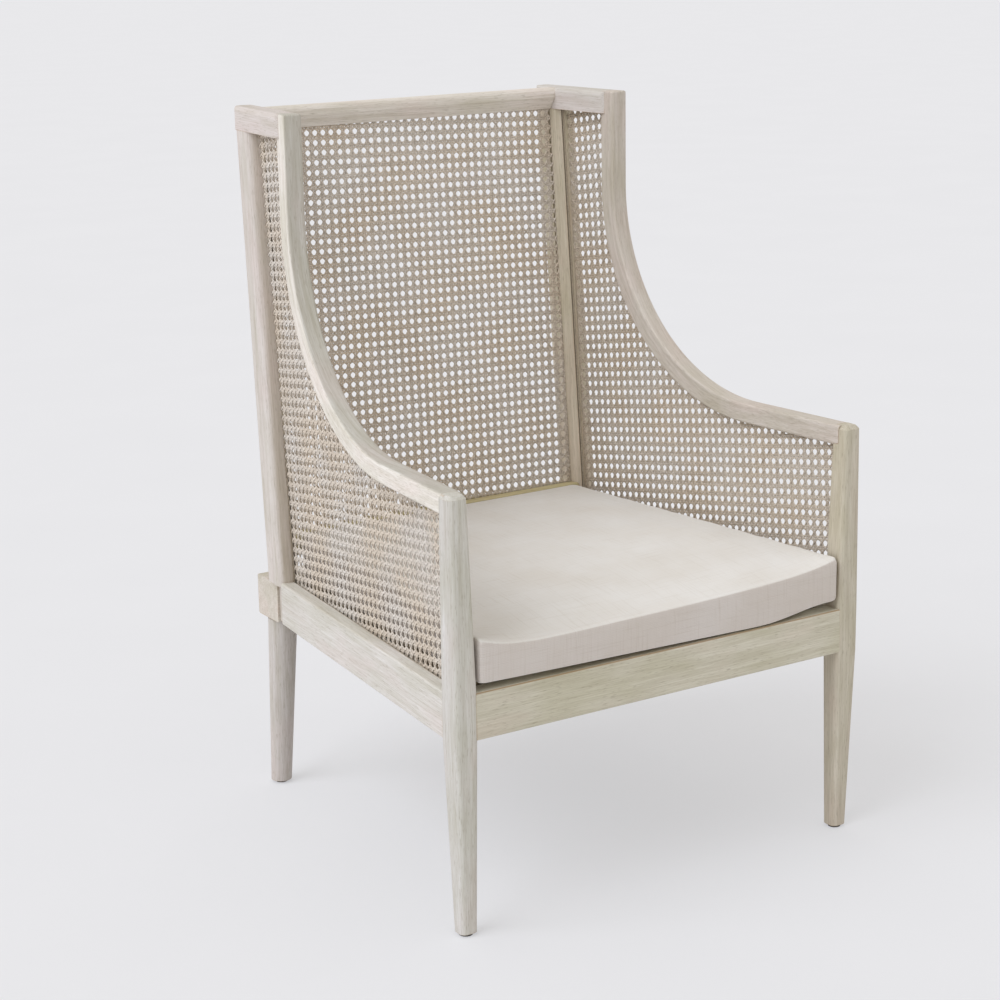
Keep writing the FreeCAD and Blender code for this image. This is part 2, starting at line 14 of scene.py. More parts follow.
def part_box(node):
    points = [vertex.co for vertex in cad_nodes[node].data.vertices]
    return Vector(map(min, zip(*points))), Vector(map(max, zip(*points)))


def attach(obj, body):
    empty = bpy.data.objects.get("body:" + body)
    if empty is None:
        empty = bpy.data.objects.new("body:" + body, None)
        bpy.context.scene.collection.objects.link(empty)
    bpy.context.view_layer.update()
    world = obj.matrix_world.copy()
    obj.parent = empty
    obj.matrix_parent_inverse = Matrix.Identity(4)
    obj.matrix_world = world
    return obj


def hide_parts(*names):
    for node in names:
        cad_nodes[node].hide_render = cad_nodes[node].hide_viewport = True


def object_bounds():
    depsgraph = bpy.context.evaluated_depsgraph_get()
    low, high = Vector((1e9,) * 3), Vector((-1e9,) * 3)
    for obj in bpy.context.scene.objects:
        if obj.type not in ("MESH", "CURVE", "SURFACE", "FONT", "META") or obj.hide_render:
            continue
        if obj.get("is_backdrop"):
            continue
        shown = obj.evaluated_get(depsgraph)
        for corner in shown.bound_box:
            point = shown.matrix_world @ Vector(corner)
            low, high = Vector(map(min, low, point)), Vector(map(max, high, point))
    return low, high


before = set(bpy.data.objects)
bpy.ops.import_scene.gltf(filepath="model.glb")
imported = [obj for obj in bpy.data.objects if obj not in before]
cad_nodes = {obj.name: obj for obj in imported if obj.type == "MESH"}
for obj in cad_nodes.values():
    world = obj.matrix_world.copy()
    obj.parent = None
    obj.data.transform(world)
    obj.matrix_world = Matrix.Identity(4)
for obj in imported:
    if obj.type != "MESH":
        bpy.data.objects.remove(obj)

cad_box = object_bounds()
print("CAD box", [round(value, 4) for corner in cad_box for value in corner])

# %% [markdown]
# ## Camera
# The camera's place and lens were fitted to straight edges of the chair in the photograph. It stands to the
# left of the front and looks down by about fifteen degrees, through a long lens that keeps the uprights
# nearly parallel. Its matrix could be made from angles, but the three fitted axes are exact.

# %% Camera
camera_data = bpy.data.cameras.new("camera")
camera_data.sensor_width = 36.0
camera_data.lens = 81.37
camera_data.clip_end = 300.0
camera = bpy.data.objects.new("camera", camera_data)
bpy.context.scene.collection.objects.link(camera)
camera.matrix_world = Matrix((
    (0.84205, 0.15196, -0.51755, -1.7078),
    (-0.53915, 0.20795, -0.81613, -2.6198),
    (-0.01639, 0.96626, 0.25703, 1.2972),
    (0.0, 0.0, 0.0, 1.0),
))
bpy.context.scene.camera = camera
bpy.context.scene.view_settings.view_transform = "Standard"
print("camera lens", camera_data.lens, "mm")

# %% [markdown]
# ## Colours and nodes
# Colours are written as they look on a screen, in hex, and one function turns them to the linear values that
# the shader wants. One more function adds a shader node with its settings, values and links. A socket that
# is given another node's output is linked, and any other value is set on the socket itself. The five short
# functions after it add the kinds of node that nearly every finish needs, and hand on what comes out of them.

# %% Colours and the function that adds a node
def colour(code):
    """The linear colour of a screen colour such as D3CEC4."""
    parts = [int(code[i:i + 2], 16) / 255 for i in (0, 2, 4)]
    return [*(p / 12.92 if p <= 0.04045 else ((p + 0.055) / 1.055) ** 2.4 for p in parts), 1.0]


def add(tree, kind, inputs=None, stops=(), **settings):
    """Adds a shader node. inputs holds values or other nodes' outputs, stops a ramp's places and colours."""
    node = tree.nodes.new("ShaderNode" + kind)
    for name, value in settings.items():
        setattr(node, name, value)
    for socket, value in (inputs or {}).items():
        if isinstance(value, bpy.types.NodeSocket):
            tree.links.new(value, node.inputs[socket])
        else:
            node.inputs[socket].default_value = value
    for i, (place, code) in enumerate(stops):
        stop = node.color_ramp.elements[i] if i < 2 else node.color_ramp.elements.new(place)
        stop.position, stop.color = place, colour(code)
    return node


def new_material(name):
    """An empty node material with its shader, its node tree and the object's own coordinates."""
    material = bpy.data.materials.new(name)
    material.use_nodes = True
    tree = material.node_tree
    shader = tree.nodes["Principled BSDF"]
    return material, tree, shader, add(tree, "TexCoord").outputs["Object"]


print("white is", [round(value, 3) for value in colour("FFFFFF")])

# %% The nodes that every finish needs
def maths(tree, operation, *values):
    """One sum on values or other nodes' outputs."""
    return add(tree, "Math", dict(enumerate(values)), operation=operation).outputs[0]


def ranged(tree, value, span, result):
    """A value carried from one span to another, and held at its ends."""
    return add(tree, "MapRange", {0: value, 1: span[0], 2: span[1], 3: result[0], 4: result[1]}).outputs[0]


def ramp(tree, value, *stops):
    """A value turned to a colour."""
    return add(tree, "ValToRGB", {0: value}, stops).outputs[0]


def mix(tree, share, first, second, blend_type="MIX"):
    """The first colour, with the second mixed in by its share, or multiplied in."""
    inputs = {0: share, 6: first, 7: second}
    return add(tree, "Mix", inputs, data_type="RGBA", blend_type=blend_type).outputs[2]


def noise(tree, place, cell, detail, shift=(0.0, 0.0, 0.0), distortion=0.0):
    """Noise whose cells have a real size, in metres along each axis."""
    spot = add(tree, "Mapping", {"Vector": place, "Location": shift, "Scale": cell}, vector_type="TEXTURE")
    settings = {"Vector": spot.outputs[0], "Scale": 1.0, "Detail": detail, "Distortion": distortion}
    return add(tree, "TexNoise", settings).outputs[0]


print("node functions ready")

# %% [markdown]
# ## Floor and light
# A plain pale floor runs far past the view, so it is also the backdrop. Most of the light comes evenly from
# the whole room, and one broad soft lamp high on the left adds a little, as a window would. The levels add up
# to about one on a surface that faces up or left, so a colour renders about as it is written. To the camera,
# half of the floor's tone is its own pale colour, which keeps the chair's shadow as light as in a studio.

# %% The floor
floor_width = 160.0
floor_own_share = 0.55


def seen_directly(tree):
    """One where the camera looks, also in a gloss or through a pane, and nought for all other light."""
    rays = add(tree, "LightPath").outputs
    seen = maths(tree, "MAXIMUM", rays["Is Camera Ray"], rays["Is Glossy Ray"])
    return maths(tree, "MAXIMUM", seen, rays["Is Transmission Ray"])


bpy.ops.object.select_all(action="DESELECT")
bpy.ops.mesh.primitive_plane_add(size=floor_width, location=(0.0, 0.0, 0.0))
floor = bpy.context.object
floor.name = "floor"
paint, tree, shader, place = new_material("matt_floor_paint")
speckle = add(tree, "TexNoise", {"Vector": place, "Scale": 3.0, "Detail": 3.0}).outputs[0]
tree.links.new(ramp(tree, speckle, (0.3, "E6E6E8"), (0.7, "E9E9EB")), shader.inputs["Base Color"])
shader.inputs["Roughness"].default_value = 0.9
share = maths(tree, "MULTIPLY", seen_directly(tree), floor_own_share)
glow = add(tree, "Emission", {"Color": colour("EAEBEF"), "Strength": 1.0})
both = add(tree, "MixShader", {0: share, 1: shader.outputs[0], 2: glow.outputs[0]})
tree.links.new(both.outputs[0], tree.nodes["Material Output"].inputs["Surface"])
floor.data.materials.append(paint)
floor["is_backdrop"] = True
print("floor", floor_width, "m wide")

# %% Lamp and world
room_level, backdrop_level = 0.66, 0.80
bpy.ops.object.light_add(type="SUN", location=(-3.0, -1.5, 4.0))
lamp = bpy.context.object
lamp.name = "window_light"
lamp.data.energy = 1.5
lamp.data.angle = 0.8
lamp.data.color = (0.95, 0.985, 1.06)
towards_lamp = Vector((-0.70, -0.02, 0.715))
lamp.rotation_euler = towards_lamp.to_track_quat("Z", "Y").to_euler()

world = bpy.data.worlds.new("studio")
bpy.context.scene.world = world
world.use_nodes = True
tree = world.node_tree
level = ranged(tree, seen_directly(tree), (0.0, 1.0), (room_level, backdrop_level))
tree.nodes["Background"].inputs["Color"].default_value = colour("FFFAF3")
tree.links.new(level, tree.nodes["Background"].inputs["Strength"])
print("lamp", round(lamp.data.energy, 2), "W per square metre, world", room_level)

# %% [markdown]
# ## Limed wood
# The frame is pale hardwood, limed: a white paste is rubbed in and wiped off, so the pores keep it and the
# harder streaks let the wood show. To the eye that gives long streaks of white, grey beige and a little olive
# or pink, a few dark pore marks, and brown where hands and corners have worn the paste away. The streaks must
# run along each piece, so the object's coordinates are first turned until their third axis lies along the
# grain, and each noise is then stretched on that axis. The finish is built up in layers: the lime's colour
# with tints that paint each face's light and shade, then pores, then wear, then painted shade with dust in
# corners.

# %% The lime's colour, with painted light and shade by facing
# Each noise's cell in metres, its length along the grain last, and its detail. Fibres are drawn twice as
# coarse as they are, to show.
grain_layers = {
    "streak": ((0.007, 0.007, 0.19), 3.0),
    "fibre": ((0.0014, 0.0014, 0.05), 4.0),
    "pore": ((0.0011, 0.0011, 0.012), 1.0),
    "patch": ((0.05, 0.05, 0.13), 2.0),
}
patch_share = 0.36


def lime_colour_and_face_light(tree, layers, facing, warmth, tints):
    """Streaks of white lime and, by warmth, of brown wood, with patches, and painted light and shade by the
    way a face looks.
    """
    pale = ramp(tree, layers["streak"], (0.3, "DEDAD1"), (0.7, "F9F7F5"), (0.5, "ECE9E4"))
    brown = ramp(tree, layers["streak"], (0.3, "D3C9B4"), (0.7, "EDE4D4"), (0.5, "DFD6C2"))
    patches = ramp(tree, layers["patch"], (0.35, "D1CBB4"), (0.65, "EFDFD7"), (0.5, "E9E2D7"))
    body = mix(tree, patch_share, mix(tree, warmth, pale, brown), patches)
    # Faces that look left take the first colour of tints and all others the second. Besides the member's tone,
    # these colours paint the light and shade that those faces get.
    leftward = ranged(tree, facing["X"], (-0.5, -0.95), (0.0, 1.0))
    tone_and_face_light = mix(tree, leftward, colour(tints[1]), colour(tints[0]))
    return mix(tree, 1.0, body, tone_and_face_light, "MULTIPLY")


print(len(grain_layers), "layers of grain")

# %% Wear and dust
edge_reach, corner_reach = 0.0022, 0.012


def worn(tree, wood, patch, normal, facing, wear):
    """Wood whose lime is rubbed off its edges, and, by wear, off its rounded upper front arris."""
    # Where a rounded copy of the surface turns away from the real one, there is an edge.
    softened = add(tree, "Bevel", {"Radius": edge_reach}, samples=6).outputs[0]
    turned = add(tree, "VectorMath", {0: softened, 1: normal}, operation="DOT_PRODUCT").outputs["Value"]
    edge = ranged(tree, turned, (0.985, 0.80), (0.0, 1.0))
    patchy = ranged(tree, patch, (0.42, 0.62), (0.10, 0.62))
    rubbed = mix(tree, maths(tree, "MULTIPLY", edge, patchy), wood, colour("B0946F"))
    if not wear:
        return rubbed
    # Hands and knees rub a rail through where its surface faces forwards and upwards alike.
    slope = maths(tree, "MULTIPLY", facing["Y"], facing["Z"])
    arris = ranged(tree, slope, (-0.30, -0.44), (0.0, wear))
    return mix(tree, arris, rubbed, colour("9C7B54"))


def shade_and_dust(tree, surface, reach, samples, shade, most, shade_and_dust_colour):
    """A surface darkened towards a colour where corners keep the light out: painted shade, and dust."""
    corner = add(tree, "AmbientOcclusion", {"Distance": reach}, samples=samples).outputs["AO"]
    return mix(tree, ranged(tree, corner, shade, (0.0, most)), surface, colour(shade_and_dust_colour))


def raise_bumps(tree, shader, height, strength, distance):
    """Lets a height show in the way that the surface takes the light."""
    bump = add(tree, "Bump", {"Height": height, "Strength": strength, "Distance": distance})
    tree.links.new(bump.outputs[0], shader.inputs["Normal"])


print("edges worn within", edge_reach * 1000, "mm")

# %% The limed wood
def limed_wood(name, grain_of, shift, warmth, tints, wear=0.0):
    """Limed wood. grain_of gives coordinates whose third axis runs along the grain.

    tints holds two colours: of the faces that look left, and of all the others. They give the member's tone
    and paint the light and shade of those faces.
    """
    material, tree, shader, place = new_material(name)
    grain = grain_of(tree, place)
    layers = {layer: noise(tree, grain, *cell, shift) for layer, cell in grain_layers.items()}
    normal = add(tree, "NewGeometry").outputs["Normal"]
    facing = add(tree, "SeparateXYZ", {0: normal}).outputs
    thin = ramp(tree, layers["fibre"], (0.32, "D8D3C9"), (0.62, "FFFFFF"))
    fine = mix(tree, 0.5, lime_colour_and_face_light(tree, layers, facing, warmth, tints), thin, "MULTIPLY")
    pores = ranged(tree, layers["pore"], (0.60, 0.74), (0.0, 0.42))
    pored = mix(tree, pores, fine, colour("8F8570"))
    rubbed = worn(tree, pored, layers["patch"], normal, facing, wear)
    # Joints and corners are darkened brown where little light reaches them: painted shade, and wax and dust.
    final = shade_and_dust(tree, rubbed, corner_reach, 6, (0.62, 0.25), 0.55, "84755A")
    tree.links.new(final, shader.inputs["Base Color"])
    roughness = ranged(tree, layers["streak"], (0.3, 0.7), (0.52, 0.68))
    tree.links.new(roughness, shader.inputs["Roughness"])
    raise_bumps(tree, shader, maths(tree, "SUBTRACT", layers["fibre"], pores), 0.35, 0.0004)
    shader.inputs["IOR"].default_value = 1.45
    return material


def straight_grain(direction):
    """Grain coordinates for a straight piece that lies along a direction."""
    turn = Vector((0.0, 0.0, 1.0)).rotation_difference(Vector(direction)).to_euler()

    def grain_of(tree, place):
        return add(tree, "Mapping", {"Vector": place, "Rotation": turn}, vector_type="TEXTURE").outputs[0]
    return grain_of


print("limed wood ready")

# %% [markdown]
# ## The straight members
# No two boards are alike, so each member gets its own copy of the finish: its own place in the noise, its
# own share of brown, and its own tints, chosen to look like the photograph. The tints also paint the light
# and shade that each member's faces get. One material for the whole frame would be simpler, but its streaks
# would then run along some pieces and across others.

# %% Wood on the straight members
# The plan narrows towards the rear by the first angle a side, and the back leans by the second.
taper = math.radians(5.2)
recline = math.radians(4.3)
lean = (0.0, math.sin(recline), math.cos(recline))
upward, crosswise = (0, 0, 1), (1, 0, 0)
back_left, back_right = (math.sin(taper), math.cos(taper), 0), (-math.sin(taper), math.cos(taper), 0)
# Each member's run, how much of the brown wood its lime lets through, and its lime's tints, which paint each
# face's light and shade as well as the member's tone. On members inside the chair and at the right, the larger
# brown share is partly the wood's tone and partly painted warm shade, and the back's bottom rail is tinted
# yellow olive as painted warm shade.
wood_runs = {
    "front_post_left": (upward, 0.15, ("E9ECF1", "E8ECED")),
    "front_post_right": (upward, 0.8, ("E2E1DD", "E6E7E4")),
    "rear_post_left": (lean, 0.0, ("EBE9EB", "D5CFCA")),
    "rear_post_right": (lean, 1.0, ("ECEBE7", "ECEBE7")),
    "rear_leg_left": (upward, 0.5, ("E4E5ED", "E0E1E9")),
    "rear_leg_right": (upward, 0.8, ("E6E6E6", "E6E6E6")),
    "side_seat_rail_left": (back_left, 0.15, ("F0F2F6", "F1F3F6")),
    "side_seat_rail_right": (back_right, 0.7, ("F0EEEA", "F0EEEA")),
    "wing_top_rail_left": (back_left, 0.2, ("EFECF2", "EFECF2")),
    "wing_top_rail_right": (back_right, 0.5, ("EBEDF6", "EBEDF6")),
    "front_seat_rail": (crosswise, 0.8, ("F0F4F1", "F0F4F1")),
    "rear_seat_rail": (crosswise, 0.4, ("EBEAEA", "EDECEC")),
    "back_top_rail": (crosswise, 0.3, ("FFFFFF", "FDFDFF")),
    "back_bottom_rail": (crosswise, 1.0, ("EBEAC7", "EBEAC7")),
}
# The front rail's arris is rubbed nearly bare, and each member's noise starts this far from the one before.
rail_wear = {"front_seat_rail": 0.75}
noise_step = (0.013, 0.37, 0.21)


def dress(node_name, material):
    """Puts a material on a CAD node."""
    cad_nodes[node_name].data.materials.clear()
    cad_nodes[node_name].data.materials.append(material)


for number, (node_name, (direction, warmth, tints)) in enumerate(wood_runs.items()):
    shift = [step * number for step in noise_step]
    grain_of, wear = straight_grain(direction), rail_wear.get(node_name, 0.0)
    dress(node_name, limed_wood("limed_wood_" + node_name, grain_of, shift, warmth, tints, wear))
print(len(wood_runs), "members dressed in limed wood")

# %% [markdown]
# ## Grain on the curved arms
# The arm is bent, or glued up from thin layers over a form, so its grain follows the curve: level, round the
# quarter circle, and up. The grain coordinates are therefore the distance from the curve's centre and the
# length walked along the member. Both come from a few sums on the object's coordinates.

# %% Wood on the wing arms
# The curve's centre, back along the side and up from the floor, its radius, and where the side starts.
curve_along, curve_height, curve_radius = 0.18395, 0.881, 0.304
front_line = -0.3185


def bent_grain(tree, place):
    """Grain coordinates that follow the arm's level run, its quarter circle and its upright."""
    parts = add(tree, "SeparateXYZ", {0: place}).outputs
    along = maths(tree, "DIVIDE", maths(tree, "ADD", parts["Y"], -front_line), math.cos(taper))
    ahead = maths(tree, "SUBTRACT", along, curve_along)
    above = maths(tree, "SUBTRACT", parts["Z"], curve_height)
    in_turn = maths(tree, "MAXIMUM", ahead, 0.0)
    below = maths(tree, "MINIMUM", above, 0.0)
    across = add(tree, "CombineXYZ", {0: in_turn, 1: below}).outputs[0]
    radius = add(tree, "VectorMath", {0: across}, operation="LENGTH").outputs["Value"]
    angle = maths(tree, "ARCTAN2", in_turn, maths(tree, "MULTIPLY", below, -1.0))
    arc = maths(tree, "MULTIPLY", angle, curve_radius)
    level_run = maths(tree, "MINIMUM", ahead, 0.0)
    upright = maths(tree, "MAXIMUM", above, 0.0)
    walked = maths(tree, "ADD", maths(tree, "ADD", arc, level_run), upright)
    return add(tree, "CombineXYZ", {0: parts["X"], 1: radius, 2: walked}).outputs[0]


# Each arm's noise place, brown share and tints; the two tints paint the light and shade of the arm's faces as
# well as its tone.
for node_name, shift, warmth, tints in (
    ("wing_arm_left", (0.31, 0.17, 0.9), 0.0, ("FFFFFF", "D9DAD8")),
    ("wing_arm_right", (0.53, 0.71, 0.4), 0.65, ("E0DFE2", "E8E7EA")),
):
    dress(node_name, limed_wood("limed_wood_" + node_name, bent_grain, shift, warmth, tints))
print("arms dressed, curve radius", curve_radius, "m")

# %% [markdown]
# ## Hidden wood
# Under the cushion are slats, cleats and corner blocks of plain softwood, sawn and planed but not limed. They
# show only from below and through the cane, where they are brown grey with age and dust, so their grain is
# simpler: one stretched noise. The dowels are beech.

# %% Bare wood, beech
def bare_wood(name, direction, light, dark):
    """Planed, unfinished wood with its grain along a direction."""
    material, tree, shader, place = new_material(name)
    rings = noise(tree, straight_grain(direction)(tree, place), (0.004, 0.004, 0.16), 5.0, distortion=0.4)
    tree.links.new(ramp(tree, rings, (0.32, dark), (0.66, light)), shader.inputs["Base Color"])
    raise_bumps(tree, shader, rings, 0.3, 0.0003)
    shader.inputs["Roughness"].default_value = 0.72
    return material


pine_across = bare_wood("planed_pine_across", (1, 0, 0), "A3967F", "7B6D58")
pine_back = bare_wood("planed_pine_back", (0, 1, 0), "9E917B", "766955")
beech = bare_wood("turned_beech", (1, 0, 0), "D8B48A", "BE9468")
for node_name in cad_nodes:
    if node_name.startswith(("seat_slat_", "front_corner_block", "rear_corner_block")):
        dress(node_name, pine_across)
    elif node_name.startswith("seat_cleat"):
        dress(node_name, pine_back)
    elif node_name.endswith("dowels"):
        dress(node_name, beech)
print("hidden wood dressed")

# %% [markdown]
# ## Metal, plastic and reed
# Three small finishes are alike in their making: fine noise turned to two tones. The slat screws are zinc
# plated steel: grey, a little dull, faintly mottled. The glides under the feet are moulded polythene, nearly
# black, with a matt skin that gets scuffed pale from being pushed about. The reeds are thick strips of cane
# core, pressed over the cane's edges in their grooves. They show as thin lines, a little darker and duller
# than the weave, so their noise is fine enough to read as cut fibres.

# %% Screws, glides and reeds
def small_finish(name, scale, detail, first, second, roughness, bumps=0.0):
    """A finish of fine noise, with its dark and its light tone."""
    material, tree, shader, place = new_material(name)
    fine = add(tree, "TexNoise", {"Vector": place, "Scale": scale, "Detail": detail}).outputs[0]
    tree.links.new(ramp(tree, fine, first, second), shader.inputs["Base Color"])
    shader.inputs["Roughness"].default_value = roughness
    if bumps:
        raise_bumps(tree, shader, fine, bumps, 0.0003)
    return material, shader


zinc, zinc_shader = small_finish("zinc_plated_steel", 900.0, 3.0, (0.3, "A9ABAD"), (0.7, "C9CBCC"), 0.38)
zinc_shader.inputs["Metallic"].default_value = 1.0
polythene, _ = small_finish("moulded_polythene", 350.0, 4.0, (0.4, "2C2A28"), (0.75, "5A564F"), 0.6, 0.4)
reed, _ = small_finish("cane_core_reed", 420.0, 4.0, (0.3, "A79B89"), (0.7, "C4BAA8"), 0.65, 0.4)
dress("slat_screws", zinc)
dress("floor_glides", polythene)
for node_name in ("back_cane_reed", "wing_cane_reed_left", "wing_cane_reed_right"):
    dress(node_name, reed)
print("screws, glides and reeds dressed")

# %% [markdown]
# ## Cane
# Cane is the skin of rattan, split into flat strands with a glassy side and a dull side. Here it is toned
# grey beige to go with the limed wood. A strand shows fine fibres along its length, its tone drifts from one
# strand to the next, and it catches a soft light. The pattern has to follow each strand in four directions,
# so every woven piece carries an attribute called fibre: the place across, along, and the strand's family.

# %% The cane finish
# Fibres 0.5 mm apart would vanish in the picture, so they are drawn 0.9 mm apart. The drift's cells are a
# little wider than a strand.
fibre_cell, drift_cell = (0.0009, 0.03, 1.0), (0.0035, 0.12, 0.3)
shade_reach = 0.004


def cane_finish(name, light, middle, dark):
    """Split cane whose fibres follow the piece's own fibre attribute, in metres."""
    material, tree, shader, place = new_material(name)
    fibre = add(tree, "Attribute", attribute_name="fibre").outputs["Vector"]
    lines = noise(tree, fibre, fibre_cell, 3.0)
    drift = noise(tree, fibre, drift_cell, 2.0)
    tone = ramp(tree, drift, (0.32, dark), (0.68, light), (0.5, middle))
    body = mix(tree, 0.6, tone, ramp(tree, lines, (0.3, "D2CBC0"), (0.6, "FFFFFF")), "MULTIPLY")
    # Where strands cross and meet the frame, the cane darkens towards brown: painted shade, and dust.
    shaded_at_crossings = shade_and_dust(tree, body, shade_reach, 4, (0.75, 0.3), 0.5, "7A6C58")
    # Flecks of lime and dust, and broad drifts of tone over the whole panel.
    fleck = add(tree, "TexNoise", {"Vector": place, "Scale": 620.0, "Detail": 2.0}).outputs[0]
    flecked = mix(tree, 0.6, shaded_at_crossings, ramp(tree, fleck, (0.36, "ACA69E"), (0.60, "FFFFFF")), "MULTIPLY")
    broad = add(tree, "TexNoise", {"Vector": place, "Scale": 11.0, "Detail": 1.0}).outputs[0]
    final = mix(tree, 1.0, flecked, ramp(tree, broad, (0.36, "F4EFE8"), (0.64, "F6F7F9")), "MULTIPLY")
    tree.links.new(final, shader.inputs["Base Color"])
    raise_bumps(tree, shader, lines, 0.3, 0.0002)
    shader.inputs["Roughness"].default_value = 0.5
    return material


# The light, middle and dark tone of each panel's strands. They also paint each panel's light: the left side's
# cane is lightest, as painted light, and the right side's darkest, as painted shade.
canes = {
    "back": cane_finish("split_cane_back", "F8F0E6", "ECE3D8", "DAD1C6"),
    "right": cane_finish("split_cane_right_painted_shade", "E4DBCF", "D8CEC1", "C6BBAD"),
    "left": cane_finish("split_cane_left_painted_light", "FFFBF5", "FAF3EB", "EEE6DD"),
}
print(len(canes), "cane finishes ready")

# %% [markdown]
# ## One strand of the weave
# Hand and machine caning alike lay pairs of strands up and across, locked over and under each other where
# the pairs meet, and then two diagonals that run over one pair and under the other. All of that repeats
# every 13.5 by 14.5 mm. So only one repeat of each strand is modelled: a thin bar, cut into rings,
# narrowed on its glassy side, and lifted or pressed down ring by ring. Its ends stay open, so that the copies
# join. Curves would give smoother strands, but far more faces than a repeat of this kind may have.

# %% Helpers for edit mode
def only(*objects):
    """Leaves exactly these objects selected, the first one active."""
    bpy.ops.object.select_all(action="DESELECT")
    for item in objects:
        item.select_set(True)
    bpy.context.view_layer.objects.active = objects[0]


def points_of(piece):
    """The places of a mesh's points, one row each."""
    places = np.zeros(len(piece.data.vertices) * 3)
    piece.data.vertices.foreach_get("co", places)
    return places.reshape(-1, 3)


def pick(piece, chosen):
    """In edit mode, selects exactly the points of a true or false row, and what lies between them."""
    bpy.ops.mesh.select_mode(type="VERT")
    bpy.ops.mesh.select_all(action="DESELECT")
    bpy.ops.object.mode_set(mode="OBJECT")
    piece.data.vertices.foreach_set("select", np.asarray(chosen, bool))
    bpy.ops.object.mode_set(mode="EDIT")


# %% One repeat of a strand
strand_thickness = 0.0008
glassy_share = 0.52
same_place = 0.00005


def strand_repeat(width, rings, shift, turn):
    """One repeat of a strand along Y: rings gives its places and lifts. Then it is turned and shifted."""
    length = rings[-1][0] - rings[0][0]
    bpy.ops.object.select_all(action="DESELECT")
    bpy.ops.mesh.primitive_cube_add(size=1.0)
    strand = bpy.context.object
    strand.scale = (width, length, strand_thickness)
    bpy.ops.object.transform_apply(scale=True)
    bpy.ops.object.mode_set(mode="EDIT")
    for y, _ in rings[1:-1]:
        bpy.ops.mesh.select_all(action="SELECT")
        bpy.ops.mesh.bisect(plane_co=(0.0, y, 0.0), plane_no=(0.0, 1.0, 0.0))
    bpy.ops.object.mode_set(mode="OBJECT")
    bpy.ops.object.mode_set(mode="EDIT")
    pick(strand, points_of(strand)[:, 2] > 0)
    bpy.ops.transform.resize(value=(glassy_share, 1.0, 1.0), center_override=(0.0, 0.0, 0.0))
    for y, lift in rings:
        pick(strand, abs(points_of(strand)[:, 1] - y) < same_place)
        bpy.ops.transform.translate(value=(0.0, 0.0, lift))
    for end in (rings[0][0], rings[-1][0]):
        pick(strand, abs(points_of(strand)[:, 1] - end) < same_place)
        bpy.ops.mesh.delete(type="ONLY_FACE")
    bpy.ops.object.mode_set(mode="OBJECT")
    strand.rotation_euler = (0.0, 0.0, turn)
    strand.location = shift
    bpy.ops.object.transform_apply(location=True, rotation=True)
    return strand


print("a strand is", strand_thickness * 1000, "mm thick")

# %% [markdown]
# ## The eight strands of a repeat
# Two uprights and two levels stand a pair's offset from the middle of the repeat, and each passes over one
# strand of the other pair and under its neighbour. A diagonal starts and ends halfway up. Its first flat runs
# under one pair and its second over the next, where the pairs are halfway between two crossings, so the four
# diagonals cut the corners off each hole.

# %% Uprights, levels and diagonals
repeat_x, repeat_y = 0.0135, 0.0145
upright_width, upright_offset = 0.0027, 0.00152
level_width, level_offset = 0.0028, 0.00170
diagonal_width = 0.0026
# How far a strand is lifted where a pair locks, and where a diagonal crosses.
lock, cross = 0.00042, 0.00082
# Where a diagonal's flats start and end, as shares of its length from its middle.
flat_start_share, flat_end_share = 0.14, 0.36


def locked(side, length, offset):
    """The rings of a strand that goes over one neighbour and under the other."""
    return (-length / 2, 0.0), (-offset, side * lock), (offset, -side * lock), (length / 2, 0.0)


uprights, levels, diagonals = [], [], []
slant = math.hypot(repeat_x, repeat_y)
near, far_off = slant * flat_start_share, slant * flat_end_share
for side in (-1, 1):
    rings = locked(side, repeat_y, level_offset)
    uprights.append(strand_repeat(upright_width, rings, (side * upright_offset, 0.0, 0.0), 0.0))
for side in (-1, 1):
    rings = locked(side, repeat_x, upright_offset)
    levels.append(strand_repeat(level_width, rings, (0.0, side * level_offset, 0.0), -math.pi / 2))
for side in (-1, 1):
    under, over = ((-far_off, -cross), (-near, -cross)), ((near, cross), (far_off, cross))
    rings = ((-slant / 2, 0.0), *under, *over, (slant / 2, 0.0))
    turn = -side * math.atan2(repeat_x, repeat_y)
    diagonals.append(strand_repeat(diagonal_width, rings, (repeat_x / 4, -side * repeat_y / 4, 0.0), turn))
for strands in (uprights, levels):
    only(*strands)
    bpy.ops.object.join()
families = {
    "uprights": uprights[0], "levels": levels[0], "diagonal_one": diagonals[0], "diagonal_two": diagonals[1],
}
print({name: len(strand.data.polygons) for name, strand in families.items()}, "faces a repeat")

# %% [markdown]
# ## A cane panel
# The repeats are copied by two array modifiers until they cover the panel, merged, and then carried into the
# panel's plane. The photograph shows that the rows of a panel aren't quite square to its uprights, so the
# carrying matrix leans a little. What lies more than the groove's depth outside the opening is cut away: the
# strands end inside the grooves, as pressed cane does, and their ends are closed.

# %% Lay the repeats side by side
merge_within = 0.00002


